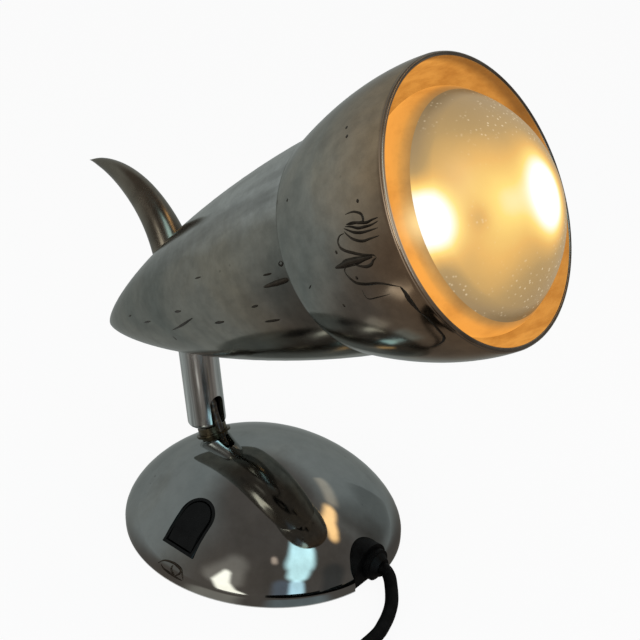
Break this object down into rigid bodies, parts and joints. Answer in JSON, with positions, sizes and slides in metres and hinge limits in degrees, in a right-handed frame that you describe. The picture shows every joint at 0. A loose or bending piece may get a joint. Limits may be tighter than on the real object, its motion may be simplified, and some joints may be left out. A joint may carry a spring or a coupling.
{
  "type": "wall lamp",
  "caption": "Wall lamp with a polished cast spot head, horn-shaped handle, tilting and swivelling stem, oval domed base with rocker switch and a mains cord.",
  "frame": {"origin": "middle of the flat underside of the oval base, where it meets the wall or a table", "axes": "+X along the base towards the cord exit and the way the head points, +Y across the base, +Z away from the mounting surface"},
  "size_m": [0.2887, 0.1886, 0.2055],
  "materials": {
    "cast_metal": "polished, aged and scratched",
    "horn": "dark polished",
    "chrome": "polished",
    "old_brass": "dull, tarnished",
    "brass": "bright",
    "steel": "zinc plated",
    "black_gloss": "glossy",
    "black_rubber": "satin",
    "black_matte": "matte",
    "white_plastic": "matte",
    "brown_lead": "glossy, mottled",
    "porcelain": "glazed",
    "bulb_glass": "frosted front, silvered sides",
    "bulb_cap": "plain"
  },
  "bodies": {
    "base": {"base_dome": "cast_metal", "base_plate": "steel", "plate_screws": "steel", "switch_body": "black_gloss", "switch_blades": "brass", "strain_relief": "black_rubber", "cord_clamp": "black_matte", "clamp_screws": "steel", "terminal_block": "white_plastic", "inner_leads": "brown_lead", "cord": "black_rubber", "cord_coil": "black_rubber", "coil_tie": "black_matte", "plug_body": "black_rubber", "plug_pins": "brass"},
    "rocker": {"rocker": "black_gloss"},
    "neck": {"neck": "old_brass", "neck_washer": "steel", "neck_nut": "old_brass", "stem_lead": "brown_lead"},
    "stem": {"stem_tube": "chrome", "stem_insert": "old_brass", "pivot_pin": "steel", "stem_nut": "steel", "rear_shell": "cast_metal", "front_shade": "cast_metal", "shade_screws": "steel", "horn_handle": "horn", "horn_screw": "steel", "holder_strap": "steel", "strap_screws": "steel", "holder_screws": "steel", "lampholder": "porcelain", "holder_shell": "brass", "holder_contact": "brass", "head_lead": "brown_lead", "bulb_glass": "bulb_glass", "bulb_cap": "bulb_cap", "bulb_contact": "bulb_cap"}
  },
  "joints": [
    {"name": "swivel", "type": "hinge", "parent": "base", "child": "neck", "pos_m": [-0.03508, 0, 0.04187], "axis": [-0.3987, 0, 0.9171], "range_deg": [-45, 45]},
    {"name": "tilt", "type": "hinge", "parent": "neck", "child": "stem", "pos_m": [-0.03508, 0, 0.04187], "axis": [0, 1, 0], "range_deg": [-11, 5]},
    {"name": "rocker", "type": "hinge", "parent": "base", "child": "rocker", "pos_m": [0.003, -0.04265, 0.01803], "axis": [1, 0, 0], "range_deg": [0, 8]}
  ]
}
